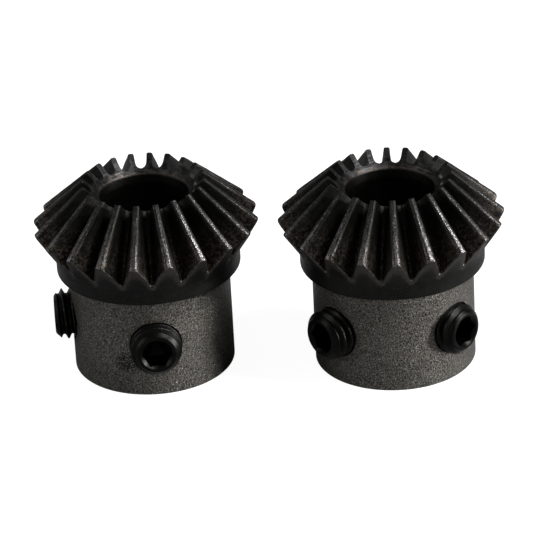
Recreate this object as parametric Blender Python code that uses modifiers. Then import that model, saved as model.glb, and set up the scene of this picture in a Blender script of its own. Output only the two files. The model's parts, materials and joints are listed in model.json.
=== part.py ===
"""Mitre bevel gear pair with set-screw hubs.

Two equal straight-tooth bevel gears stand side by side on their hub end faces.
Each is one turned and cut piece of steel: a toothed cone, a plain collar under
the teeth and a narrower hub, with a bore right through. Two M5 set screws with
hex sockets sit in radial holes in each hub.

Frame: +Z along the bores, from the hub end faces at Z = 0 to the teeth, +X from
the left gear's axis to the right gear's, origin midway between the two axes.
An azimuth is an angle about a gear's own axis, from -Y towards +X.
"""

import math

import bmesh
import bpy
from mathutils import Matrix, Vector

MM = 0.001

# Tooth system: both gears are equal, so the pitch cones are 45 degrees.
MODULE = 1.0 * MM
TEETH = 20
PITCH_CONE_ANGLE = math.radians(45)
ADDENDUM = 1.0 * MODULE
DEDENDUM = 1.84 * MODULE  # the cutter runs deeper than the usual 1.25
FACE_WIDTH = 6.5 * MM
MOUNTING_DISTANCE = 24.0 * MM  # hub end face to the apex of the pitch cone

# Half the gap between two teeth, from above the tip down to the root, as pairs
# of height above the pitch cone and half width. A form cutter leaves the gap
# V-shaped at the heel and rounder at the toe, where the teeth are slender.
HEEL_GAP = [
    (2.00 * MM, 1.74 * MM),
    (1.00 * MM, 1.32 * MM),
    (0.00 * MM, 0.90 * MM),
    (-0.60 * MM, 0.60 * MM),
    (-1.20 * MM, 0.38 * MM),
    (-1.65 * MM, 0.24 * MM),
    (-DEDENDUM, 0.08 * MM),
]
TOE_GAP = [
    (1.20 * MM, 0.70 * MM),
    (0.54 * MM, 0.62 * MM),
    (0.00 * MM, 0.56 * MM),
    (-0.32 * MM, 0.53 * MM),
    (-0.65 * MM, 0.46 * MM),
    (-0.87 * MM, 0.33 * MM),
    (-0.99 * MM, 0.12 * MM),
]

# Turned blank. Under the teeth the heel is a cone that runs out into the collar.
BORE_RADIUS = 4.0 * MM
BORE_CHAMFER = 0.18 * MM
HUB_RADIUS = 7.65 * MM
HUB_HEIGHT = 10.05 * MM
HUB_CHAMFER = 0.1 * MM
COLLAR_RADIUS = 8.73 * MM
COLLAR_CHAMFER = 0.15 * MM
HEEL_ANGLE = math.radians(33.5)  # from the gear's axis
HEEL_FILLET = 2.5 * MM
HEEL_FILLET_POINTS = 4
BLANK_STEPS = 80

# Set screws: M5 x 0.8, 5 mm long, flat point, for a 2.5 mm hex key.
SCREW_CREST_RADIUS = 2.42 * MM
SCREW_PITCH = 0.8 * MM
THREAD_DEPTH = 0.46 * MM
SCREW_LENGTH = 5.0 * MM
SCREW_END_RADIUS = 1.8 * MM
KEY_ACROSS_FLATS = 2.5 * MM
KEY_DEPTH = 2.3 * MM
SOCKET_CHAMFER = 0.15 * MM
SCREW_HOLE_RADIUS = 2.5 * MM
THREAD_STEPS = 20
HOLE_STEPS = 48

# Finishes, as base colour, roughness and metallic.
GEAR_FINISH = ((0.075, 0.07, 0.064), 0.5, 0.85)
SCREW_FINISH = ((0.018, 0.018, 0.02), 0.32, 0.8)

# Where the gears and screws are. A phase is the azimuth of one tooth's centre.
AXIS_SPACING = 23.12 * MM
GEARS = {
    "left_gear": {"x": -AXIS_SPACING / 2, "phase": math.radians(-2.1)},
    "right_gear": {"x": AXIS_SPACING / 2, "phase": math.radians(3.2)},
}
# reach is how far the socket end is from the gear's axis.
SCREWS = {
    "left_gear_front_screw": {"gear": "left_gear", "azimuth": 7.5, "height": 5.2 * MM, "reach": 9.45 * MM},
    "left_gear_side_screw": {"gear": "left_gear", "azimuth": -82.9, "height": 5.4 * MM, "reach": 9.3 * MM},
    "right_gear_left_screw": {"gear": "right_gear", "azimuth": -45.5, "height": 5.2 * MM, "reach": 9.5 * MM},
    "right_gear_right_screw": {"gear": "right_gear", "azimuth": 49.5, "height": 5.2 * MM, "reach": 9.0 * MM},
}

# Derived cone geometry.
PITCH_RADIUS = MODULE * TEETH / 2
CONE_DISTANCE = PITCH_RADIUS / math.sin(PITCH_CONE_ANGLE)
TOE_SCALE = (CONE_DISTANCE - FACE_WIDTH) / CONE_DISTANCE
HEEL_OVERCUT = 1.8 * MM
TOE_OVERCUT = 0.6 * MM
HOLE_OVERCUT = 1.0 * MM


def clear_scene():
    for obj in list(bpy.data.objects):
        bpy.data.objects.remove(obj, do_unlink=True)


def new_collection(name):
    collection = bpy.data.collections.new(name)
    bpy.context.scene.collection.children.link(collection)
    return collection


def new_material(name, finish):
    color, roughness, metallic = finish
    material = bpy.data.materials.new(name)
    material.use_nodes = True
    shader = material.node_tree.nodes["Principled BSDF"]
    shader.inputs["Base Color"].default_value = (*color, 1.0)
    shader.inputs["Roughness"].default_value = roughness
    shader.inputs["Metallic"].default_value = metallic
    material.diffuse_color = (*color, 1.0)
    return material


def new_object(name, bm, collection):
    mesh = bpy.data.meshes.new(name)
    bm.to_mesh(mesh)
    bm.free()
    obj = bpy.data.objects.new(name, mesh)
    collection.objects.link(obj)
    return obj


def hide_cutter(obj):
    obj.hide_render = True
    obj.display_type = "WIRE"


def add_boolean(obj, cutter, operation):
    modifier = obj.modifiers.new(cutter.name, "BOOLEAN")
    modifier.operation = operation
    modifier.solver = "EXACT"
    modifier.object = cutter


def turned(name, profile, steps, collection):
    """A (radius, z) outline, outer side running down, turned about Z.

    It is closed up unless both its ends are already on the axis.
    """
    bm = bmesh.new()
    verts = [bm.verts.new((radius, 0.0, z)) for radius, z in profile]
    on_axis = profile[0][0] == 0.0 and profile[-1][0] == 0.0
    for here, there in zip(verts, verts[1:] if on_axis else verts[1:] + verts[:1]):
        bm.edges.new((here, there))
    obj = new_object(name, bm, collection)
    screw = obj.modifiers.new("turn", "SCREW")
    screw.axis = "Z"
    screw.steps = steps
    screw.render_steps = steps
    screw.use_merge_vertices = True
    screw.merge_threshold = 1e-7
    return obj


def loft(sections):
    """A closed solid through rings of the same number of points, capped at both ends."""
    bm = bmesh.new()
    rings = [[bm.verts.new(point) for point in section] for section in sections]
    for lower, upper in zip(rings, rings[1:]):
        for i in range(len(lower)):
            j = (i + 1) % len(lower)
            bm.faces.new((lower[i], lower[j], upper[j], upper[i]))
    bm.faces.new(rings[0])
    bm.faces.new(rings[-1])
    bmesh.ops.recalc_face_normals(bm, faces=bm.faces)
    return bm


def shade(obj, degrees=35):
    obj.data.shade_smooth()
    obj.data.set_sharp_from_angle(angle=math.radians(degrees))


# ---------------------------------------------------------------- gear blank


def across_teeth(scale, height):
    """The (radius, z) of a point at a height above the pitch cone.

    Scale 1 is the heel; the section is a cone square to the pitch cone.
    """
    radius = PITCH_RADIUS * scale + height * math.cos(PITCH_CONE_ANGLE)
    pitch_z = MOUNTING_DISTANCE - PITCH_RADIUS * scale / math.tan(PITCH_CONE_ANGLE)
    return radius, pitch_z + height * math.sin(PITCH_CONE_ANGLE)


def heel_fillet(heel_tip):
    """The arc, tangent to the heel cone and the collar, listed downwards."""
    corner_z = heel_tip[1] - (heel_tip[0] - COLLAR_RADIUS) / math.tan(HEEL_ANGLE)
    bottom_z = corner_z - HEEL_FILLET * math.tan(HEEL_ANGLE / 2)
    arc = []
    for i in range(HEEL_FILLET_POINTS + 1):
        turn = HEEL_ANGLE * (1 - i / HEEL_FILLET_POINTS)
        radius = COLLAR_RADIUS + HEEL_FILLET * (1 - math.cos(turn))
        arc.append((radius, bottom_z + HEEL_FILLET * math.sin(turn)))
    return arc


def blank_profile():
    heel_tip = across_teeth(1.0, ADDENDUM)
    toe_tip = across_teeth(TOE_SCALE, ADDENDUM * TOE_SCALE)
    # The toe face is a cone square to the pitch cone, so it dishes in to the bore.
    bore_mouth = BORE_RADIUS + BORE_CHAMFER
    bore_mouth_z = toe_tip[1] - (toe_tip[0] - bore_mouth) * math.tan(PITCH_CONE_ANGLE)
    return [
        toe_tip,
        heel_tip,
        *heel_fillet(heel_tip),
        (COLLAR_RADIUS, HUB_HEIGHT + COLLAR_CHAMFER),
        (COLLAR_RADIUS - COLLAR_CHAMFER, HUB_HEIGHT),
        (HUB_RADIUS, HUB_HEIGHT),
        (HUB_RADIUS, HUB_CHAMFER),
        (HUB_RADIUS - HUB_CHAMFER, 0.0),
        (bore_mouth, 0.0),
        (BORE_RADIUS, BORE_CHAMFER),
        (BORE_RADIUS, bore_mouth_z - 1.5 * BORE_CHAMFER),
        (bore_mouth, bore_mouth_z),
    ]


# --------------------------------------------------------------- tooth spaces


def gap_section(azimuth, scale, half_gap):
    """The whole outline of one gap between teeth, as points in space."""
    outline = half_gap + [(height, -width) for height, width in reversed(half_gap)]
    points = []
    for height, width in outline:
        radius, z = across_teeth(scale, height)
        theta = azimuth + width / radius
        points.append(Vector((radius * math.sin(theta), -radius * math.cos(theta), z)))
    return points


def beyond(near, far, length):
    """The near section carried on past itself, along the lines from the far one."""
    stretch = length / FACE_WIDTH
    return [here + (here - there) * stretch for here, there in zip(near, far)]


def gap_cutters(name, phase, collection):
    """All the gaps of one gear, as straight wedges longer than the teeth."""
    whole = bmesh.new()
    for k in range(TEETH):
        azimuth = phase + (k + 0.5) * 2 * math.pi / TEETH
        heel = gap_section(azimuth, 1.0, HEEL_GAP)
        toe = gap_section(azimuth, TOE_SCALE, TOE_GAP)
        wedge = loft([beyond(heel, toe, HEEL_OVERCUT), beyond(toe, heel, TOE_OVERCUT)])
        mesh = bpy.data.meshes.new("wedge")
        wedge.to_mesh(mesh)
        wedge.free()
        whole.from_mesh(mesh)
        bpy.data.meshes.remove(mesh)
    cutter = new_object(name, whole, collection)
    hide_cutter(cutter)
    return cutter


# ----------------------------------------------------------------- the pieces


def radial(azimuth_degrees):
    azimuth = math.radians(azimuth_degrees)
    return Vector((math.sin(azimuth), -math.cos(azimuth), 0.0))


def radial_matrix(place, distance):
    """Local +Z turned outwards along a screw's axis, distance from the gear's axis."""
    direction = radial(place["azimuth"])
    centre = Vector((GEARS[place["gear"]]["x"], 0.0, place["height"]))
    turn = direction.to_track_quat("Z", "Y").to_matrix().to_4x4()
    return Matrix.Translation(centre + direction * distance) @ turn


def screw_hole_cutter(name, place, collection):
    inner, outer = BORE_RADIUS / 2, HUB_RADIUS + HOLE_OVERCUT
    bm = bmesh.new()
    bmesh.ops.create_cone(
        bm,
        cap_ends=True,
        segments=HOLE_STEPS,
        radius1=SCREW_HOLE_RADIUS,
        radius2=SCREW_HOLE_RADIUS,
        depth=outer - inner,
    )
    cutter = new_object(name + "_hole", bm, collection)
    cutter.matrix_world = radial_matrix(place, (inner + outer) / 2)
    hide_cutter(cutter)
    return cutter


def make_gear(name, parts, cutters, material):
    place = GEARS[name]
    gear = turned(name, blank_profile(), BLANK_STEPS, parts)
    gear.location.x = place["x"]
    gear.data.materials.append(material)
    gaps = gap_cutters(name + "_gaps", place["phase"], cutters)
    gaps.location.x = place["x"]
    add_boolean(gear, gaps, "DIFFERENCE")
    for screw_name, screw_place in SCREWS.items():
        if screw_place["gear"] == name:
            add_boolean(gear, screw_hole_cutter(screw_name, screw_place, cutters), "DIFFERENCE")
    shade(gear)
    return gear


def threaded_rod(name, collection):
    """A helical 60 degree thread, longer than the screw at both ends."""
    crest, root = SCREW_PITCH / 8, SCREW_PITCH / 4
    slope = (SCREW_PITCH - crest - root) / 2
    crest_r, root_r = SCREW_CREST_RADIUS, SCREW_CREST_RADIUS - THREAD_DEPTH
    turn_profile = [
        (0.0, crest_r),
        (crest, crest_r),
        (crest + slope, root_r),
        (crest + slope + root, root_r),
    ]
    turns = math.ceil(SCREW_LENGTH / SCREW_PITCH) + 3
    start = -1.5 * SCREW_PITCH
    rungs = [(start + t * SCREW_PITCH + z, r) for t in range(turns) for z, r in turn_profile]
    columns = []
    bm = bmesh.new()
    for i in range(THREAD_STEPS):
        angle = 2 * math.pi * i / THREAD_STEPS
        lift = SCREW_PITCH * i / THREAD_STEPS
        columns.append(
            [bm.verts.new((r * math.cos(angle), r * math.sin(angle), z + lift)) for z, r in rungs]
        )
    # One turn on, the first column is met a whole pitch higher.
    shift = len(turn_profile)
    for i, column in enumerate(columns):
        last = i == THREAD_STEPS - 1
        following = columns[0][shift:] if last else columns[i + 1]
        column = column[: len(following)]
        for low_a, low_b, high_b, high_a in zip(column, following, following[1:], column[1:]):
            bm.faces.new((low_a, low_b, high_b, high_a))
    # Each open end is a ring with one step in it, closed by a fan from the axis.
    low_ring = [column[0] for column in columns] + columns[0][shift:0:-1]
    high_ring = [column[-1] for column in columns] + columns[-1][-2 : -2 - shift : -1]
    for ring, z in ((low_ring, start - SCREW_PITCH), (high_ring, start + turns * SCREW_PITCH)):
        hub = bm.verts.new((0.0, 0.0, z))
        for here, there in zip(ring, ring[1:] + ring[:1]):
            bm.faces.new((here, there, hub))
    bmesh.ops.recalc_face_normals(bm, faces=bm.faces)
    return new_object(name, bm, collection)


def screw_blank(name, collection):
    """The screw's turned form, chamfered at both ends down to the thread's root."""
    outer = SCREW_CREST_RADIUS + THREAD_DEPTH
    chamfer = outer - SCREW_END_RADIUS
    profile = [
        (0.0, SCREW_LENGTH),
        (SCREW_END_RADIUS, SCREW_LENGTH),
        (outer, SCREW_LENGTH - chamfer),
        (outer, chamfer),
        (SCREW_END_RADIUS, 0.0),
        (0.0, 0.0),
    ]
    blank = turned(name, profile, THREAD_STEPS * 2, collection)
    hide_cutter(blank)
    return blank


def key_socket_cutter(name, collection):
    """A hexagonal recess with a chamfered mouth and a shallow drilled bottom."""
    corner = KEY_ACROSS_FLATS / 2 / math.cos(math.pi / 6)
    floor = SCREW_LENGTH - KEY_DEPTH
    mouth = SCREW_LENGTH + SOCKET_CHAMFER
    levels = [
        (floor - 0.5 * corner, 0.1 * corner),
        (floor, corner),
        (SCREW_LENGTH - SOCKET_CHAMFER, corner),
        (mouth, corner + 2 * SOCKET_CHAMFER),
    ]
    corners = [math.pi / 3 * i for i in range(6)]
    cutter = new_object(
        name,
        loft([[(r * math.cos(a), r * math.sin(a), z) for a in corners] for z, r in levels]),
        collection,
    )
    hide_cutter(cutter)
    return cutter


def make_screw(name, blank, socket, parts, material):
    place = SCREWS[name]
    screw = threaded_rod(name, parts)
    screw.matrix_world = radial_matrix(place, place["reach"] - SCREW_LENGTH)
    for shape in (blank, socket):
        shape.matrix_world = screw.matrix_world
    add_boolean(screw, blank, "INTERSECT")
    add_boolean(screw, socket, "DIFFERENCE")
    screw.data.materials.append(material)
    shade(screw)
    return screw


def main():
    clear_scene()
    parts = new_collection("bevel_gear_pair")
    cutters = new_collection("cutters")
    gear_steel = new_material("gear_steel", GEAR_FINISH)
    screw_oxide = new_material("screw_oxide", SCREW_FINISH)
    for name in GEARS:
        make_gear(name, parts, cutters, gear_steel)
    for name in SCREWS:
        blank = screw_blank(name + "_blank", cutters)
        socket = key_socket_cutter(name + "_socket", cutters)
        make_screw(name, blank, socket, parts, screw_oxide)


main()
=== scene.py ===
"""Looks for the mitre bevel gear pair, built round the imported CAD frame.

Each gear is one closed grid of quads: columns run round the axis and rows run
from the heel of the teeth to the toe, into the bore, under the hub and back up
to the heel. Each set screw is a helical thread trimmed to a turned blank.

Lengths are in metres. The frame has +Z along the bores and +X from the left
gear to the right one. An azimuth is about a gear's own axis, from -Y towards +X.
"""

import json
import math

import bmesh
import bpy
import numpy as np
from mathutils import Matrix, Vector, noise

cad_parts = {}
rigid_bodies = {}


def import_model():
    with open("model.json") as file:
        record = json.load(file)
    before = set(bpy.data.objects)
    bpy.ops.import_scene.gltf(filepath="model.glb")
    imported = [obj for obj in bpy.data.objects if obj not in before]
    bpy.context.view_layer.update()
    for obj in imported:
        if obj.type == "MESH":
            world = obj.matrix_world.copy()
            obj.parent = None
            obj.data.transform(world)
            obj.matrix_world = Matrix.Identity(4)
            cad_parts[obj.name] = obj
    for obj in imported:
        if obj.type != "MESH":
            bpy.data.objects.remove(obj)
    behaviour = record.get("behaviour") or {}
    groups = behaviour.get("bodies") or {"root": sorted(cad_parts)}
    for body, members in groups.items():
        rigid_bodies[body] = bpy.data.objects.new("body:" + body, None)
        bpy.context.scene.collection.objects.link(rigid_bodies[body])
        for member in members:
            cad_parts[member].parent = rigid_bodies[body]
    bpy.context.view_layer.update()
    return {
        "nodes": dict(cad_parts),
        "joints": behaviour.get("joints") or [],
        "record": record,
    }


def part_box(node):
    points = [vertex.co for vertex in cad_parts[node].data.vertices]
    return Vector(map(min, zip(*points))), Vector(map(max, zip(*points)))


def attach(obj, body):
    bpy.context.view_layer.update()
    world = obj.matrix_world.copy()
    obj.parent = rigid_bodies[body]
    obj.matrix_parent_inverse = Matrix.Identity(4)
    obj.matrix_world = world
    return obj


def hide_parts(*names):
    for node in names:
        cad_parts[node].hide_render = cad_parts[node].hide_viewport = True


MM = 0.001

# Teeth.
TEETH = 20
PITCH_RADIUS = 10.0 * MM
MOUNTING_DISTANCE = 24.0 * MM
ADDENDUM = 1.0 * MM
FACE_WIDTH = 6.5 * MM
PITCH_CONE_ANGLE = math.radians(45)
CONE_DISTANCE = PITCH_RADIUS / math.sin(PITCH_CONE_ANGLE)
TOE_SCALE = (CONE_DISTANCE - FACE_WIDTH) / CONE_DISTANCE
# Half a gap from the edge of a land down to the root: height over the pitch
# cone and half width.
HEEL_GAP = [
    (1.00 * MM, 1.32 * MM),
    (0.00 * MM, 0.90 * MM),
    (-0.60 * MM, 0.60 * MM),
    (-1.20 * MM, 0.38 * MM),
    (-1.65 * MM, 0.24 * MM),
    (-1.84 * MM, 0.08 * MM),
]
TOE_GAP = [
    (0.54 * MM, 0.62 * MM),
    (0.00 * MM, 0.56 * MM),
    (-0.32 * MM, 0.53 * MM),
    (-0.65 * MM, 0.46 * MM),
    (-0.87 * MM, 0.33 * MM),
    (-0.99 * MM, 0.12 * MM),
]
# How far the rounding of each edge reaches back from it.
LAND_EDGE = 0.24 * MM
HEEL_EDGE = 0.2 * MM
TOE_EDGE = 0.07 * MM
# The toothed surfaces are uneven by this much, in swells of this size.
WEAR_DEPTH = 0.025 * MM
WEAR_SIZE = 0.8 * MM
WEAR_SEED = 1  # fixed, so that each run gives the same wear
RIM_WIDTH = 0.2 * MM  # of the brown rim round the bore's mouth, to each side

# Turned surfaces.
BORE_RADIUS = 4.0 * MM
BORE_CHAMFER = 0.18 * MM
# The chamfer at the toe end is steep, because it runs down from the 45 degree dish.
TOE_CHAMFER_DEPTH = 4 * BORE_CHAMFER
HUB_RADIUS = 7.65 * MM
HUB_HEIGHT = 10.05 * MM
HUB_CHAMFER = 0.1 * MM
COLLAR_RADIUS = 8.73 * MM
COLLAR_CHAMFER = 0.15 * MM
HEEL_ANGLE = math.radians(33.5)
HEEL_FILLET = 2.5 * MM

# Set screws.
CREST_RADIUS = 2.42 * MM
PITCH = 0.8 * MM
THREAD_DEPTH = 0.46 * MM
THREAD_START = math.radians(-158)  # so that a groove opens at the top of the chamfer
SCREW_END_RADIUS = 1.8 * MM
SCREW_END_ROUND = 0.12 * MM
CREST_ROUND = 0.05 * MM
ROOT_ROUND = 0.09 * MM
WORN_BAND = 0.12 * MM
KEY_ACROSS_FLATS = 2.5 * MM
KEY_CORNER = KEY_ACROSS_FLATS / 2 / math.cos(math.pi / 6)
KEY_DEPTH = 2.3 * MM
KEY_ROUND = 0.08 * MM
KEY_MOUTH = 0.22 * MM
COUNTERSINK = 0.08 * MM
HOLE_RADIUS = 2.5 * MM

# Where the left hub is pitted, beside its front screw.
PITTED_AZIMUTH = math.radians(-14)
PITTED_HEIGHT = 3.4 * MM

# Steps along curves, rows of faces along the gear's surfaces, and other mesh settings.
SPLINE_STEPS = 3
LAND_STEPS = 2
ROUND_STEPS = 4
THREAD_ROUND_STEPS = 3
FLANK_ROWS = 12
CONE_ROWS = 8
DISH_ROWS = 4
TURN_STEPS = 96
BISECTIONS = 50
SHARP_ANGLE = math.radians(40)

# The room's own light, from its bright side to its dark side, behind on the right.
ROOM_BRIGHT = 0.33
ROOM_DARK = 0.05
DARK_AZIMUTH = 120
LIGHT_DISTANCE = 1.0
TARGET = (0.0, 0.0, 10 * MM)
FLOOR_HALF_SIDE = 3.0
FLOOR_DROP = 0.02 * MM
FLOOR_GLOW = 0.95

CAMERA_PLACE = (0.021199, -0.285312, 0.155562)
CAMERA_YAW = math.radians(4.328)
CAMERA_PITCH = math.radians(27.049)
CAMERA_ROLL = math.radians(-3.107)
CAMERA_LENS = 228.92
SENSOR_WIDTH = 36.0

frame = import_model()
noise.seed_set(WEAR_SEED)
RECORD = frame["record"]
OPENINGS = {o["name"]: o["box_m"] for o in RECORD["physics"]["openings"]}


# ------------------------------------------------------------------ node trees


class Shader:
    """One Principled material, built from chained nodes.

    Its coordinates are in millimetres, so a noise's scale is in swells to the
    millimetre. Roughness is mixed as a grey.
    """

    def __init__(self, name):
        self.material = bpy.data.materials.new(name)
        self.material.use_nodes = True
        self.tree = self.material.node_tree
        self.surface = self.tree.nodes["Principled BSDF"]
        place = self.add("ShaderNodeTexCoord").outputs["Object"]
        self.mm = self.add("ShaderNodeVectorMath", operation="SCALE")
        self.tree.links.new(place, self.mm.inputs[0])
        self.mm.inputs["Scale"].default_value = 1 / MM
        self.mm = self.mm.outputs[0]

    def add(self, kind, **settings):
        node = self.tree.nodes.new(kind)
        for key, value in settings.items():
            setattr(node, key, value)
        return node

    def put(self, socket, value):
        if isinstance(value, bpy.types.NodeSocket):
            self.tree.links.new(value, socket)
        else:
            socket.default_value = value

    def math(self, operation, a, b):
        node = self.add("ShaderNodeMath", operation=operation)
        self.put(node.inputs[0], a)
        self.put(node.inputs[1], b)
        return node.outputs[0]

    def ramp(self, value, low, high, to_low=0.0, to_high=1.0):
        node = self.add("ShaderNodeMapRange", interpolation_type="SMOOTHSTEP")
        for socket, given in zip(node.inputs, (value, low, high, to_low, to_high)):
            self.put(socket, given)
        return node.outputs[0]

    def mix(self, factor, a, b):
        node = self.add("ShaderNodeMix", data_type="RGBA")
        self.put(node.inputs["Factor"], factor)
        for socket, value in (("A", a), ("B", b)):
            inputs = [i for i in node.inputs if i.name == socket and i.type == "RGBA"]
            self.put(inputs[0], value if isinstance(value, bpy.types.NodeSocket) else (*value, 1.0))
        return [o for o in node.outputs if o.type == "RGBA"][0]

    def stretched(self, scale):
        node = self.add("ShaderNodeVectorMath", operation="MULTIPLY")
        self.put(node.inputs[0], self.mm)
        node.inputs[1].default_value = scale
        return node.outputs[0]

    def noise(self, scale, detail=2.0, rough=0.5, vector=None):
        node = self.add("ShaderNodeTexNoise")
        self.put(node.inputs["Vector"], vector or self.mm)
        node.inputs["Scale"].default_value = scale
        node.inputs["Detail"].default_value = detail
        node.inputs["Roughness"].default_value = rough
        return node.outputs["Fac"]

    def attribute(self, name):
        return self.add("ShaderNodeAttribute", attribute_name=name).outputs["Fac"]

    def bump(self, height, distance, strength, normal=None):
        node = self.add("ShaderNodeBump")
        node.inputs["Strength"].default_value = strength
        node.inputs["Distance"].default_value = distance
        self.put(node.inputs["Height"], height)
        if normal:
            self.put(node.inputs["Normal"], normal)
        return node.outputs[0]

    def finish(self, color, roughness, metallic, normal):
        self.put(self.surface.inputs["Base Color"], color)
        self.put(self.surface.inputs["Roughness"], roughness)
        self.put(self.surface.inputs["Metallic"], metallic)
        self.put(self.surface.inputs["Normal"], normal)
        return self.material


def grey(value):
    return (value,) * 3


def tooth_steel():
    """Black oxide on the flanks, worn to bright steel on the lands and edges."""
    s = Shader("tooth_steel")
    land, edge, heel = s.attribute("land"), s.attribute("edge"), s.attribute("toward_heel")
    along = s.add("ShaderNodeCombineXYZ")
    s.put(along.inputs["X"], s.attribute("column"))
    s.put(along.inputs["Y"], s.math("MULTIPLY", heel, 9.0))
    streaks = s.noise(0.45, 3.0, 0.6, along.outputs[0])
    grain = s.noise(7.0, 3.0, 0.6)
    patches = s.noise(1.3, 3.0, 0.6)
    specks = s.noise(9.0, 2.0, 0.6)
    uneven = s.math("ADD", s.math("MULTIPLY", grain, 0.65), s.math("MULTIPLY", streaks, 0.35))
    uneven = s.math("ADD", uneven, s.math("MULTIPLY", heel, 0.12))
    worn_land = s.ramp(s.math("ADD", s.math("MULTIPLY", land, 0.40), uneven), 0.90, 1.09)
    worn_edge = s.math("ADD", s.math("MULTIPLY", edge, 0.30), s.math("MULTIPLY", specks, 0.9))
    worn_edge = s.ramp(worn_edge, 0.66, 0.92)
    rubbed = s.math("MULTIPLY", s.ramp(specks, 0.52, 0.66), s.ramp(patches, 0.46, 0.66))
    rubbed = s.math("MULTIPLY", rubbed, s.ramp(heel, 0.3, 1.0, 0.05, 0.45))
    worn = s.math("MAXIMUM", worn_land, s.math("MAXIMUM", worn_edge, rubbed))
    rust = s.ramp(s.noise(3.6, 4.0, 0.7), 0.46, 0.62)
    rust = s.math("MULTIPLY", rust, s.ramp(heel, 0.35, 1.0, 0.0, 0.9))
    oxide = s.mix(patches, (0.004, 0.004, 0.0034), (0.012, 0.0115, 0.010))
    oxide = s.mix(s.ramp(streaks, 0.5, 0.7), oxide, (0.022, 0.021, 0.020))
    oxide = s.mix(rust, oxide, (0.095, 0.075, 0.059))
    color = s.mix(worn, oxide, (0.155, 0.151, 0.155))
    rough = s.mix(worn, s.mix(patches, grey(0.42), grey(0.58)), grey(0.30))
    normal = s.bump(s.noise(3.0, 4.0, 0.65), 0.05 * MM, 0.4)
    normal = s.bump(grain, 0.04 * MM, 0.7, normal)
    return s.finish(color, rough, s.ramp(worn, 0.0, 1.0, 0.85, 1.0), normal)


def collar_black():
    """Smooth blue-black oxide with turning lines, browner on the ends of the teeth."""
    s = Shader("collar_black")
    end = s.attribute("tooth_end")
    patches = s.noise(0.9, 3.0, 0.6)
    grain = s.noise(6.0, 3.0, 0.6)
    lines = s.noise(1.0, 2.0, 0.6, s.stretched((0.25, 0.25, 9.0)))
    color = s.mix(patches, (0.010, 0.010, 0.0094), (0.024, 0.0238, 0.0235))
    color = s.mix(s.ramp(grain, 0.60, 0.72), color, (0.055, 0.046, 0.040))
    scuffed = s.mix(grain, (0.030, 0.029, 0.027), (0.105, 0.096, 0.088))
    scuffs = s.ramp(s.math("ADD", end, s.math("MULTIPLY", grain, 0.9)), 0.75, 1.15)
    color = s.mix(scuffs, color, scuffed)
    rough = s.mix(patches, grey(0.36), grey(0.5))
    normal = s.bump(lines, 0.014 * MM, 0.7)
    normal = s.bump(grain, 0.02 * MM, 0.6, normal)
    return s.finish(color, rough, 0.97, normal)


def hub_grain():
    """Warm grey, gritty hub: dark pits between small bright facets."""
    s = Shader("hub_grain")
    fine = s.noise(8.0, 3.0, 0.65)
    pits = s.ramp(s.noise(5.5, 4.0, 0.7), 0.44, 0.54)
    patches = s.noise(0.45, 3.0, 0.6)
    color = s.mix(patches, (0.100, 0.095, 0.081), (0.145, 0.137, 0.122))
    color = s.mix(pits, (0.036, 0.034, 0.029), color)
    color = s.mix(s.ramp(fine, 0.55, 0.64), color, (0.30, 0.29, 0.275))
    away = s.add("ShaderNodeVectorMath", operation="DISTANCE")
    s.put(away.inputs[0], s.mm)
    away.inputs[1].default_value = pitted_spot()
    spot = s.ramp(away.outputs["Value"], 0.6, 1.5, 1.0, 0.0)
    spot = s.math("MULTIPLY", spot, s.ramp(fine, 0.50, 0.58, 0.95, 0.0))
    color = s.mix(spot, color, (0.012, 0.011, 0.010))
    rough = s.mix(fine, grey(0.27), grey(0.36))
    normal = s.bump(s.noise(5.6, 3.0, 0.7), 0.115 * MM, 1.0)
    normal = s.bump(fine, 0.05 * MM, 0.9, normal)
    return s.finish(color, rough, 0.95, normal)


def bore_steel():
    """The bore and the screw holes: dark, with fine turning rings."""
    s = Shader("bore_steel")
    rings = s.noise(1.0, 2.0, 0.6, s.stretched((0.3, 0.3, 12.0)))
    patches = s.noise(1.4, 3.0, 0.6)
    color = s.mix(patches, (0.003, 0.003, 0.0026), (0.008, 0.0076, 0.007))
    normal = s.bump(rings, 0.02 * MM, 0.8)
    s.surface.inputs["Specular Tint"].default_value = (*grey(0.15), 1.0)
    return s.finish(color, s.mix(patches, grey(0.42), grey(0.6)), 0.95, normal)


def dish_steel():
    """The dished toe face: blue-grey, with turning rings and a thin brown rim."""
    s = Shader("dish_steel")
    rim = s.attribute("rim")
    patches = s.ramp(s.noise(1.8, 4.0, 0.65), 0.40, 0.62)
    grain = s.noise(8.0, 2.0, 0.6)
    rings = s.noise(1.0, 2.0, 0.6, s.stretched((0.4, 0.4, 14.0)))
    color = s.mix(patches, (0.007, 0.007, 0.0068), (0.028, 0.0278, 0.0282))
    color = s.mix(s.ramp(rings, 0.52, 0.64), color, (0.050, 0.0485, 0.050))
    brown = s.math("MULTIPLY", rim, s.ramp(grain, 0.35, 0.6))
    color = s.mix(brown, color, (0.105, 0.074, 0.058))
    normal = s.bump(rings, 0.03 * MM, 0.9)
    normal = s.bump(grain, 0.03 * MM, 0.8, normal)
    return s.finish(color, s.mix(patches, grey(0.38), grey(0.5)), 0.95, normal)


def screw_oxide():
    """Glossy black oxide with an oily film and faint wear on the crests."""
    s = Shader("screw_oxide")
    patches = s.noise(1.7, 3.0, 0.6)
    grain = s.noise(9.0, 2.0, 0.6)
    crest = s.math("MULTIPLY", s.attribute("crest"), 0.30)
    worn = s.ramp(s.math("ADD", crest, s.math("MULTIPLY", grain, 0.7)), 0.58, 0.84)
    color = s.mix(patches, (0.006, 0.0061, 0.0055), (0.011, 0.0111, 0.0104))
    color = s.mix(worn, color, (0.085, 0.085, 0.082))
    rough = s.mix(patches, grey(0.28), grey(0.40))
    normal = s.bump(grain, 0.016 * MM, 0.7)
    return s.finish(color, rough, 0.97, normal)


# -------------------------------------------------------------- gear geometry


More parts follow.
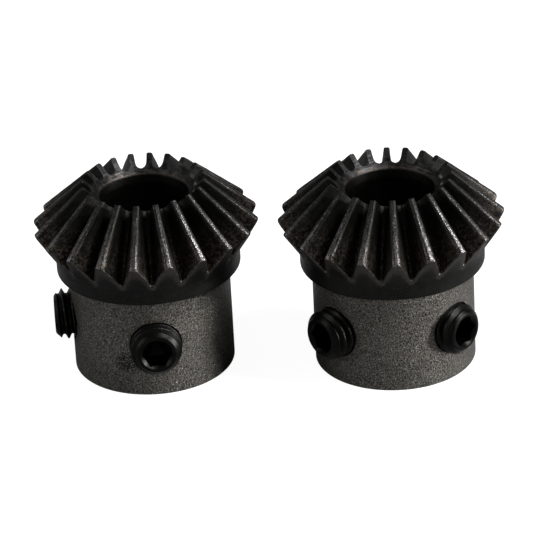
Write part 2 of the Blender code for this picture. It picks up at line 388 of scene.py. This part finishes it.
def spline(points):
    """A Catmull-Rom curve through (height, half width) points, mirrored past the root."""
    points = [np.array(p) for p in points]
    last = points[-1]
    root = np.array((last[0] - 0.25 * last[1], 0.0))
    points.append(root)
    after = np.array((last[0], -last[1]))
    before = 2 * points[0] - points[1]
    padded = [before, *points, after]
    curve = []
    for a, b, c, d in zip(padded, padded[1:], padded[2:], padded[3:]):
        for i in range(SPLINE_STEPS):
            t = i / SPLINE_STEPS
            square = (2 * a - 5 * b + 4 * c - d) * t * t
            cube = (3 * b - a - 3 * c + d) * t**3
            curve.append(0.5 * (2 * b + (c - a) * t + square + cube))
    return [*curve, root]


def bezier(a, corner, b, steps):
    """Points on a rounded corner, without its two ends."""
    inner = [i / steps for i in range(1, steps)]
    return [(1 - t) ** 2 * a + 2 * t * (1 - t) * corner + t * t * b for t in inner]


def cone_radius(scale, height):
    return PITCH_RADIUS * scale + height * math.cos(PITCH_CONE_ANGLE)


def cone_z(scale, height):
    foot = MOUNTING_DISTANCE - PITCH_RADIUS * scale / math.tan(PITCH_CONE_ANGLE)
    return foot + height * math.sin(PITCH_CONE_ANGLE)


def half_outline(scale, gap):
    """(height, half width) from the middle of a land to the middle of a gap."""
    tip = gap[0][0]
    middle = np.array((tip, math.pi / TEETH * cone_radius(scale, tip)))
    corner = np.array(gap[0])
    edge = min(LAND_EDGE, 0.7 * (middle[1] - corner[1]))
    land_end = corner + np.array((0.0, edge))
    flank = spline(gap)[1:]
    points = [middle + (land_end - middle) * i / LAND_STEPS for i in range(LAND_STEPS + 1)]
    points += bezier(land_end, corner, flank[0], ROUND_STEPS)
    return np.array(points + flank)


def all_round(phase):
    """For each column: the heel and toe points, and how much of a land it is."""
    heel, toe = half_outline(1.0, HEEL_GAP), half_outline(TOE_SCALE, TOE_GAP)
    land = np.zeros(len(heel))
    land[: LAND_STEPS + 1] = 1.0
    land[LAND_STEPS + 1 : LAND_STEPS + ROUND_STEPS] = 0.8
    ends = []
    for scale, half in ((1.0, heel), (TOE_SCALE, toe)):
        # Down one side of a gap and up the other, without the next land's middle.
        both = np.vstack([half, half[-2:0:-1]])
        sign = np.concatenate([-np.ones(len(half)), np.ones(len(half) - 2)])
        radius, z = cone_radius(scale, both[:, 0]), cone_z(scale, both[:, 0])
        rings = []
        for k in range(TEETH):
            theta = phase + (k + 0.5) * 2 * math.pi / TEETH + sign * both[:, 1] / radius
            rings.append(np.stack([radius * np.sin(theta), -radius * np.cos(theta), z], axis=1))
        ends.append(np.vstack(rings))
    lands = np.tile(np.concatenate([land, land[-2:0:-1]]), TEETH)
    return ends[0], ends[1], lands


HEEL_TIP = (cone_radius(1.0, ADDENDUM), cone_z(1.0, ADDENDUM))
TOE_TIP = (cone_radius(TOE_SCALE, ADDENDUM * TOE_SCALE), cone_z(TOE_SCALE, ADDENDUM * TOE_SCALE))
FILLET_CORNER_Z = HEEL_TIP[1] - (HEEL_TIP[0] - COLLAR_RADIUS) / math.tan(HEEL_ANGLE)
FILLET_LOW_Z = FILLET_CORNER_Z - HEEL_FILLET * math.tan(HEEL_ANGLE / 2)
FILLET_HIGH_Z = FILLET_LOW_Z + HEEL_FILLET * math.sin(HEEL_ANGLE)


def heel_radius(z):
    """The turned surface under the teeth: a cone that runs out into the collar."""
    cone = HEEL_TIP[0] - (HEEL_TIP[1] - z) * math.tan(HEEL_ANGLE)
    rise = np.clip(z - FILLET_LOW_Z, 0, HEEL_FILLET)
    arc = COLLAR_RADIUS + HEEL_FILLET - np.sqrt(HEEL_FILLET**2 - rise**2)
    return np.where(z > FILLET_HIGH_Z, cone, arc)


def dish_z(radius):
    return TOE_TIP[1] - (TOE_TIP[0] - radius) * math.tan(PITCH_CONE_ANGLE)


def ring(radius, theta, z):
    radius, z = np.broadcast_to(radius, theta.shape), np.broadcast_to(z, theta.shape)
    return np.stack([radius * np.sin(theta), -radius * np.cos(theta), z], axis=1)


def polar(points):
    return np.hypot(points[:, 0], points[:, 1]), np.arctan2(points[:, 0], -points[:, 1]), points[:, 2]


def near_angle(theta, target):
    """theta with whole turns added so that it is next to target."""
    return theta + 2 * math.pi * np.round((target - theta) / (2 * math.pi))


def rounded(corners, steps=ROUND_STEPS):
    """A path through (first, second, size) corners; size 0 keeps a corner sharp."""
    points = [np.array(c[:2]) for c in corners]
    path = []
    for i, p in enumerate(points):
        size = corners[i][2]
        if not size:
            path.append(p)
            continue
        before, after = points[i - 1] - p, points[i + 1] - p
        a = p + before * size / np.linalg.norm(before)
        b = p + after * size / np.linalg.norm(after)
        path += [a, *bezier(a, p, b, steps), b]
    return path


def turned_path():
    """(radius, z) from the bore's mouth down it, under the hub and up to the fillet.

    Each corner has the reach of its rounding. A corner with none is an end of the
    path, or only divides a long face.
    """
    mouth = BORE_RADIUS + BORE_CHAMFER
    mouth_z = float(dish_z(mouth))
    corners = [
        (mouth + 0.1 * MM, mouth_z + 0.1 * MM, 0.0),
        (mouth, mouth_z, 0.06 * MM),
        (BORE_RADIUS, mouth_z - TOE_CHAMFER_DEPTH, 0.10 * MM),
        (BORE_RADIUS, 2 * MM, 0.0),
        (BORE_RADIUS, BORE_CHAMFER, 0.05 * MM),
        (mouth, 0.0, 0.05 * MM),
        (HUB_RADIUS - HUB_CHAMFER, 0.0, 0.04 * MM),
        (HUB_RADIUS, HUB_CHAMFER, 0.04 * MM),
        (HUB_RADIUS, HUB_HEIGHT / 3, 0.0),
        (HUB_RADIUS, HUB_HEIGHT * 2 / 3, 0.0),
        (HUB_RADIUS, HUB_HEIGHT, 0.10 * MM),
        (COLLAR_RADIUS - COLLAR_CHAMFER, HUB_HEIGHT, 0.05 * MM),
        (COLLAR_RADIUS, HUB_HEIGHT + COLLAR_CHAMFER, 0.08 * MM),
        (COLLAR_RADIUS, FILLET_LOW_Z, 0.0),
    ]
    return rounded(corners)


def gear_rows(phase):
    """The gear's grid, row by row, with each row's land shares and its zone."""
    heel, toe, lands = all_round(phase)
    ruling = toe - heel
    # Each ruling of a tooth ends where it meets the turned surface under the teeth.
    low, high = np.full(len(heel), -0.5), np.full(len(heel), 0.5)
    for _ in range(BISECTIONS):
        middle = (low + high) / 2
        p = heel + ruling * middle[:, None]
        outside = np.hypot(p[:, 0], p[:, 1]) > heel_radius(p[:, 2])
        low, high = np.where(outside, middle, low), np.where(outside, high, middle)
    heel_end = heel + ruling * low[:, None]
    unit = ruling / np.linalg.norm(ruling, axis=1)[:, None]

    radius, theta, z = polar(heel_end)
    count = len(theta)
    even = phase + np.arange(count) * 2 * math.pi / count
    theta = near_angle(theta, even)
    under_z = z - HEEL_EDGE * math.cos(HEEL_ANGLE)
    under = ring(heel_radius(under_z), theta, under_z)
    flank_start = heel_end + unit * HEEL_EDGE

    toe_radius, toe_theta, _ = polar(toe)
    toe_theta = near_angle(toe_theta, even)
    in_radius = toe_radius - TOE_EDGE * math.cos(PITCH_CONE_ANGLE)
    inner = ring(in_radius, toe_theta, dish_z(in_radius))
    flank_end = toe - unit * TOE_EDGE

    rows, land, zone = [], [], []

    def put(points, land_share, name):
        rows.append(points)
        land.append(land_share)
        zone.append(name)

    for i in range(FLANK_ROWS + 1):
        put(flank_start + (flank_end - flank_start) * i / FLANK_ROWS, lands, "flank")
    for p in bezier(flank_end, toe, inner, ROUND_STEPS):
        put(p, lands, "toe_edge")
    put(inner, lands * 0.4, "toe_edge")
    path = turned_path()
    for i in range(1, DISH_ROWS):
        t = i / DISH_ROWS
        r = in_radius + (path[0][0] - in_radius) * t
        put(ring(r, toe_theta + (even - toe_theta) * t, dish_z(r)), lands * 0, "dish")
    for r, z_here in path:
        put(ring(r, even, z_here), lands * 0, "turned")
    for i in range(1, CONE_ROWS):
        t = i / CONE_ROWS
        z_here = FILLET_LOW_Z + (under_z - FILLET_LOW_Z) * t
        put(ring(heel_radius(z_here), even + (theta - even) * t * t, z_here), lands * 0, "heel")
    put(under, lands * 0.3, "heel")
    for p in bezier(under, heel_end, flank_start, ROUND_STEPS):
        put(p, lands, "heel_edge")
    return rows, land, zone


def roughen(points, centre):
    """Small uneven wear: each point is moved by smooth noise."""
    moved = []
    for p in points:
        shift = noise.noise_vector((Vector(p) + centre) / WEAR_SIZE)
        moved.append(Vector(p) + shift * WEAR_DEPTH)
    return np.array(moved)


# A vertex of the CAD gear is on a heel tip when it is this near the tips' radius.
TIP_SLACK = 0.05 * MM


def tooth_phase(node, centre):
    """The azimuth of a tooth, from the CAD gear's own heel tips."""
    co = np.array([v.co for v in frame["nodes"][node].data.vertices]) - np.array(centre)
    far = co[np.hypot(co[:, 0], co[:, 1]) > HEEL_TIP[0] - TIP_SLACK]
    theta = np.arctan2(far[:, 0], -far[:, 1]) * TEETH
    return math.atan2(np.sin(theta).sum(), np.cos(theta).sum()) / TEETH


def bore_centre(opening):
    low, high = (Vector(c) for c in OPENINGS[opening])
    return Vector(((low.x + high.x) / 2, (low.y + high.y) / 2, 0.0))


def new_object(name, mesh):
    obj = bpy.data.objects.new(name, mesh)
    bpy.context.scene.collection.objects.link(obj)
    return obj


def bake(obj):
    """Puts the result of the object's modifiers into its mesh."""
    bpy.context.view_layer.update()
    result = bpy.data.meshes.new_from_object(obj.evaluated_get(bpy.context.evaluated_depsgraph_get()))
    obj.modifiers.clear()
    obj.data = result


def cut(obj, cutter, operation):
    modifier = obj.modifiers.new("cut", "BOOLEAN")
    modifier.operation = operation
    modifier.solver = "EXACT"
    modifier.object = cutter


def finish_shading(obj):
    obj.data.shade_smooth()
    obj.data.set_sharp_from_angle(angle=SHARP_ANGLE)
    weighted = obj.modifiers.new("normals", "WEIGHTED_NORMAL")
    weighted.keep_sharp = True


def mesh_from(bm, name):
    mesh = bpy.data.meshes.new(name)
    bm.to_mesh(mesh)
    bm.free()
    return mesh


def hole_cutter(screw):
    """A cylinder on a screw's line, from inside the bore to outside the hub."""
    bm = bmesh.new()
    radii = {"radius1": HOLE_RADIUS, "radius2": HOLE_RADIUS}
    bmesh.ops.create_cone(bm, cap_ends=True, segments=TURN_STEPS, depth=1.0, **radii)
    cutter = new_object("hole", mesh_from(bm, "hole"))
    inner, outer = BORE_RADIUS / 2, HUB_RADIUS + MM
    turn = screw["direction"].to_track_quat("Z", "Y").to_matrix().to_4x4()
    middle = screw["centre"] + screw["direction"] * (inner + outer) / 2
    cutter.matrix_world = Matrix.Translation(middle) @ turn @ Matrix.Diagonal((1, 1, outer - inner, 1))
    return cutter


def pitted_spot():
    """The middle of the left hub's pitted spot, in millimetres."""
    x, y = HUB_RADIUS * math.sin(PITTED_AZIMUTH), -HUB_RADIUS * math.cos(PITTED_AZIMUTH)
    return (bore_centre("left_bore") + Vector((x, y, PITTED_HEIGHT))) / MM


GEAR_MATERIALS = [tooth_steel(), dish_steel(), collar_black(), hub_grain(), bore_steel()]
TOOTH, DISH, COLLAR, HUB, BORE = range(len(GEAR_MATERIALS))
TOOTHED = {"flank", "toe_edge", "heel_edge"}
# A face still belongs to the bore or the hub when its middle is this near their edges.
MOUTH_SLACK = 0.03 * MM
STEP_SLACK = 0.02 * MM
HUB_SLACK = 0.1 * MM


def face_material(zones, middle):
    """Which material a face has, by the zones of its two rows and where its middle is."""
    if zones & TOOTHED:
        return TOOTH
    if "dish" in zones:
        return DISH
    radius, z = math.hypot(middle[0], middle[1]), middle[2]
    if radius < BORE_RADIUS + BORE_CHAMFER + MOUTH_SLACK:
        return BORE
    if z < HUB_HEIGHT - STEP_SLACK and radius < HUB_RADIUS + HUB_SLACK:
        return HUB
    return COLLAR


def make_gear(name, body, node, opening, screws):
    centre = bore_centre(opening)
    phase = tooth_phase(node, centre)
    rows, land, zone = gear_rows(phase)
    rows = [roughen(p, centre) if z in TOOTHED else p for p, z in zip(rows, zone)]
    height, width = len(rows), len(rows[0])
    faces, surfaces = [], []
    for i in range(height):
        after = (i + 1) % height
        zones = {zone[i], zone[after]}
        for j in range(width):
            k = (j + 1) % width
            faces.append((i * width + j, i * width + k, after * width + k, after * width + j))
            surfaces.append(face_material(zones, (rows[i][j] + rows[after][j]) / 2))
    mesh = bpy.data.meshes.new(name)
    mesh.from_pydata((np.vstack(rows) + np.array(centre)).tolist(), [], faces)
    mesh.update()
    for key, values in vertex_masks(rows, land, zone).items():
        mesh.attributes.new(key, "FLOAT", "POINT").data.foreach_set("value", values.astype(np.float32))
    for material in GEAR_MATERIALS:
        mesh.materials.append(material)
    mesh.polygons.foreach_set("material_index", surfaces)
    gear = new_object(name, mesh)
    cutters = [hole_cutter(s) for s in screws]
    for cutter in cutters:
        cutter.data.materials.append(GEAR_MATERIALS[BORE])
        cut(gear, cutter, "DIFFERENCE")
    bake(gear)
    for cutter in cutters:
        bpy.data.objects.remove(cutter)
    finish_shading(gear)
    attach(gear, body)
    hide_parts(node)


def vertex_masks(rows, land, zone):
    """What the materials read at each point: shares from 0 to 1, and the column."""
    edge_shares = {"heel_edge": 1.0, "toe_edge": 0.6}
    first_heel, heel_rows = zone.index("heel"), zone.count("heel")
    mouth = BORE_RADIUS + BORE_CHAMFER
    heel_reach = TOE_TIP[1] - HEEL_TIP[1] + MM
    masks = {"land": land, "edge": [], "rim": [], "toward_heel": [], "tooth_end": [], "column": []}
    for i, (points, name) in enumerate(zip(rows, zone)):
        radius, z = np.hypot(points[:, 0], points[:, 1]), points[:, 2]
        end = (i - first_heel + 1) / heel_rows if name == "heel" else 0.0
        rim = np.clip(1 - np.abs(radius - mouth) / RIM_WIDTH, 0, 1) * (z > HUB_HEIGHT)
        masks["edge"].append(np.full(len(points), edge_shares.get(name, 0.0)))
        masks["rim"].append(rim)
        masks["toward_heel"].append(np.clip((TOE_TIP[1] - z) / heel_reach, 0, 1))
        masks["tooth_end"].append(np.full(len(points), end**2))
        masks["column"].append(np.arange(len(points), dtype=float))
    return {key: np.concatenate(values) for key, values in masks.items()}


# ------------------------------------------------------------- screw geometry


def screw_place(joint):
    """A screw's own line, from its joint's axis and its CAD solid."""
    child = next(j for j in frame["joints"] if j["name"] == joint)
    node = RECORD["behaviour"]["bodies"][child["child"]][0]
    opening = "left_bore" if child["parent"] == "left_gear" else "right_bore"
    direction = Vector(child["axis"]).normalized()
    low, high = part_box(node)
    centre = bore_centre(opening)
    centre.z = (low.z + high.z) / 2
    along = [(v.co - centre).dot(direction) for v in frame["nodes"][node].data.vertices]
    return {
        "node": node,
        "body": child["child"],
        "direction": direction,
        "centre": centre,
        "tip": min(along),
        "length": max(along) - min(along),
    }


def thread_profile():
    """(z, radius) of one turn of thread, with rounded crest and root."""
    crest, root = PITCH / 8, PITCH / 4
    slope = (PITCH - crest - root) / 2
    top, bottom = CREST_RADIUS, CREST_RADIUS - THREAD_DEPTH
    turn = [
        (-crest / 2, top, CREST_ROUND),
        (crest / 2, top, CREST_ROUND),
        (crest / 2 + slope, bottom, ROOT_ROUND),
        (crest / 2 + slope + root, bottom, ROOT_ROUND),
    ]
    before, after = (turn[-1][0] - PITCH, bottom, 0), (turn[0][0] + PITCH, top, 0)
    return rounded([before, *turn, after], THREAD_ROUND_STEPS)[1:-1]


def threaded_rod(length):
    """A right-hand thread on the z axis, a little longer than the screw at each end."""
    profile = thread_profile()
    turns = math.ceil(length / PITCH) + 3
    start = -1.5 * PITCH
    rungs = [(start + t * PITCH + z, r) for t in range(turns) for z, r in profile]
    bm = bmesh.new()
    columns = []
    for i in range(TURN_STEPS):
        angle = 2 * math.pi * i / TURN_STEPS + THREAD_START
        lift = PITCH * i / TURN_STEPS
        x, y = math.cos(angle), math.sin(angle)
        columns.append([bm.verts.new((r * x, r * y, z + lift)) for z, r in rungs])
    # One turn on, the first column is met a whole pitch higher.
    shift = len(profile)
    for i, column in enumerate(columns):
        following = columns[0][shift:] if i == TURN_STEPS - 1 else columns[i + 1]
        for quad in zip(column, following, following[1:], column[1:]):
            bm.faces.new(quad)
    # Each open end is a ring with one step in it, closed by a fan from the axis.
    low_ring = [column[0] for column in columns] + columns[0][shift:0:-1]
    high_ring = [column[-1] for column in columns] + columns[-1][-2 : -2 - shift : -1]
    for ends, z in ((low_ring, start - PITCH), (high_ring, start + turns * PITCH)):
        hub = bm.verts.new((0.0, 0.0, z))
        for here, there in zip(ends, ends[1:] + ends[:1]):
            bm.faces.new((here, there, hub))
    bmesh.ops.recalc_face_normals(bm, faces=bm.faces)
    return mesh_from(bm, "rod")


def revolve(path):
    """A closed solid from a (radius, z) path that starts and ends on the axis."""
    bm = bmesh.new()
    angles = [2 * math.pi * i / TURN_STEPS for i in range(TURN_STEPS)]
    rings = []
    for r, z in path:
        if r == 0:
            rings.append([bm.verts.new((0, 0, z))])
        else:
            rings.append([bm.verts.new((r * math.cos(a), r * math.sin(a), z)) for a in angles])
    for a, b in zip(rings, rings[1:]):
        for i in range(TURN_STEPS):
            j = (i + 1) % TURN_STEPS
            corners = [a[i % len(a)], a[j % len(a)], b[j % len(b)], b[i % len(b)]]
            bm.faces.new(list(dict.fromkeys(corners)))
    bmesh.ops.recalc_face_normals(bm, faces=bm.faces)
    return mesh_from(bm, "turned")


def screw_blank(length):
    """The cylinder with chamfered ends that the thread is trimmed to."""
    outer = CREST_RADIUS + THREAD_DEPTH
    chamfer = outer - SCREW_END_RADIUS
    corners = [
        (0.0, length, 0),
        (SCREW_END_RADIUS, length, SCREW_END_ROUND),
        (outer, length - chamfer, 0),
        (outer, chamfer, 0),
        (SCREW_END_RADIUS, 0.0, SCREW_END_ROUND),
        (0.0, 0.0, 0),
    ]
    return revolve(rounded(corners))


def hexagon(radius, z, cut_back):
    """A hexagon, as points, with its corners rounded from cut_back before each."""
    angles = [math.pi / 3 * i for i in range(6)]
    corners = [np.array((radius * math.cos(a), radius * math.sin(a))) for a in angles]
    points = []
    for i, p in enumerate(corners):
        before, after = corners[i - 1] - p, corners[(i + 1) % 6] - p
        a = p + before / np.linalg.norm(before) * cut_back
        b = p + after / np.linalg.norm(after) * cut_back
        points += [a, *bezier(a, p, b, ROUND_STEPS), b]
    return [(x, y, z) for x, y in points]


def key_socket(length):
    """The hexagonal recess with its drilled bottom."""
    floor = length - KEY_DEPTH
    levels = [
        hexagon(0.1 * KEY_CORNER, floor - 0.5 * KEY_CORNER, 0.01 * KEY_CORNER),
        hexagon(KEY_CORNER, floor, KEY_ROUND),
        hexagon(KEY_CORNER, length - KEY_MOUTH, KEY_ROUND),
        hexagon(KEY_CORNER, length + MM, KEY_ROUND),
    ]
    bm = bmesh.new()
    rings = [[bm.verts.new(p) for p in level] for level in levels]
    for a, b in zip(rings, rings[1:]):
        for i in range(len(a)):
            j = (i + 1) % len(a)
            bm.faces.new((a[i], a[j], b[j], b[i]))
    bm.faces.new(rings[0])
    bm.faces.new(rings[-1])
    bmesh.ops.recalc_face_normals(bm, faces=bm.faces)
    return mesh_from(bm, "socket")


def countersink(length):
    """The cone that opens the socket's mouth, carried on past the screw's end."""
    wide, above = KEY_CORNER + COUNTERSINK, 0.5 * MM
    return revolve([(0.0, length - wide), (wide + above, length + above), (0.0, length + above)])


def make_screw(place, material):
    length = place["length"]
    screw = new_object(place["body"], threaded_rod(length))
    tools = [
        (new_object("blank", screw_blank(length)), "INTERSECT"),
        (new_object("socket", key_socket(length)), "DIFFERENCE"),
        (new_object("mouth", countersink(length)), "DIFFERENCE"),
    ]
    for tool, operation in tools:
        cut(screw, tool, operation)
    bake(screw)
    for tool, _ in tools:
        bpy.data.objects.remove(tool)
    mesh = screw.data
    mesh.materials.clear()
    mesh.materials.append(material)
    radius = np.array([math.hypot(v.co.x, v.co.y) for v in mesh.vertices])
    height = np.array([v.co.z for v in mesh.vertices])
    # The crests wear most, and the socket end about half as much.
    crest = np.clip((radius - CREST_RADIUS + WORN_BAND) / WORN_BAND, 0, 1)
    crest = np.maximum(crest, 0.55 * (height > length - WORN_BAND))
    mesh.attributes.new("crest", "FLOAT", "POINT").data.foreach_set("value", crest.astype(np.float32))
    turn = place["direction"].to_track_quat("Z", "Y").to_matrix().to_4x4()
    mesh.transform(Matrix.Translation(place["centre"] + place["direction"] * place["tip"]) @ turn)
    finish_shading(screw)
    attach(screw, place["body"])
    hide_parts(place["node"])


# ---------------------------------------------------------------- the studio


def seen_directly(tree):
    """1 where the camera looks straight at the stage, and 0 for the light it gives."""
    return tree.nodes.new("ShaderNodeLightPath").outputs["Is Camera Ray"]


def pale_floor():
    s = Shader("floor_white")
    color = s.mix(s.noise(0.02), grey(0.20), grey(0.22))
    s.put(s.surface.inputs["Base Color"], color)
    s.surface.inputs["Roughness"].default_value = 0.8
    s.surface.inputs["Emission Color"].default_value = (1.0, 1.0, 1.0, 1.0)
    s.put(s.surface.inputs["Emission Strength"], s.math("MULTIPLY", seen_directly(s.tree), FLOOR_GLOW))
    mesh = bpy.data.meshes.new("floor")
    half = FLOOR_HALF_SIDE
    corners = [(-half, -half, 0), (half, -half, 0), (half, half, 0), (-half, half, 0)]
    mesh.from_pydata(corners, [], [(0, 1, 2, 3)])
    mesh.materials.append(s.material)
    floor = new_object("floor", mesh)
    floor.location.z = -FLOOR_DROP


def from_round(azimuth, elevation):
    """The direction at an azimuth and elevation, in degrees, as seen from the gears."""
    a, e = math.radians(azimuth), math.radians(elevation)
    return Vector((math.sin(a) * math.cos(e), -math.cos(a) * math.cos(e), math.sin(e)))


def area_light(name, azimuth, elevation, size, power):
    light = bpy.data.lights.new(name, "AREA")
    light.shape = "RECTANGLE"
    light.size, light.size_y = size
    light.energy = power
    obj = new_object(name, light)
    obj.location = Vector(TARGET) + from_round(azimuth, elevation) * LIGHT_DISTANCE
    obj.rotation_euler = (Vector(TARGET) - obj.location).to_track_quat("-Z", "Y").to_euler()


def map_range(tree, low, high, to_low, to_high):
    node = tree.nodes.new("ShaderNodeMapRange")
    for socket, value in zip(node.inputs[1:5], (low, high, to_low, to_high)):
        socket.default_value = value
    return node


def studio():
    """A white room for the camera, whose own light falls off towards its dark side."""
    world = bpy.data.worlds.new("studio")
    world.use_nodes = True
    tree = world.node_tree
    background = tree.nodes["Background"]
    background.inputs["Color"].default_value = (1.0, 1.0, 1.0, 1.0)
    toward_dark = tree.nodes.new("ShaderNodeVectorMath")
    toward_dark.operation = "DOT_PRODUCT"
    toward_dark.inputs[1].default_value = from_round(DARK_AZIMUTH, 0)
    view = tree.nodes.new("ShaderNodeTexCoord").outputs["Generated"]
    tree.links.new(view, toward_dark.inputs[0])
    room = map_range(tree, -1.0, 0.5, ROOM_BRIGHT, ROOM_DARK)
    tree.links.new(toward_dark.outputs["Value"], room.inputs["Value"])
    strength = map_range(tree, 0.0, 1.0, 0.0, 1.0)
    tree.links.new(room.outputs[0], strength.inputs["To Min"])
    tree.links.new(seen_directly(tree), strength.inputs["Value"])
    tree.links.new(strength.outputs[0], background.inputs["Strength"])
    bpy.context.scene.world = world
    area_light("key", 78, 50, (0.28, 0.33), 13.0)
    area_light("side", 79, 10, (0.16, 0.33), 14.5)
    area_light("fill", -75, 25, (0.6, 0.6), 3.8)
    bpy.context.scene.view_settings.view_transform = "Standard"


def camera():
    data = bpy.data.cameras.new("camera")
    data.sensor_width = SENSOR_WIDTH
    data.lens = CAMERA_LENS
    data.clip_start, data.clip_end = 0.01, 20.0
    yaw, pitch, roll = CAMERA_YAW, CAMERA_PITCH, CAMERA_ROLL
    forward = Vector((-math.sin(yaw) * math.cos(pitch), math.cos(yaw) * math.cos(pitch), -math.sin(pitch)))
    level = Vector((math.cos(yaw), math.sin(yaw), 0.0))
    up = level.cross(forward)
    right = level * math.cos(roll) + up * math.sin(roll)
    up = up * math.cos(roll) - level * math.sin(roll)
    turn = Matrix((right, up, -forward)).transposed().to_4x4()
    obj = new_object("camera", data)
    obj.matrix_world = Matrix.Translation(CAMERA_PLACE) @ turn
    bpy.context.scene.camera = obj


def main():
    camera()
    studio()
    pale_floor()
    screws = [screw_place(j["name"]) for j in frame["joints"] if j["type"] == "slide"]
    oxide = screw_oxide()
    for body, opening in (("left_gear", "left_bore"), ("right_gear", "right_bore")):
        own = [s for s in screws if s["centre"].x * bore_centre(opening).x > 0]
        make_gear(body + "_steel", body, body, opening, own)
    for place in screws:
        make_screw(place, oxide)


main()
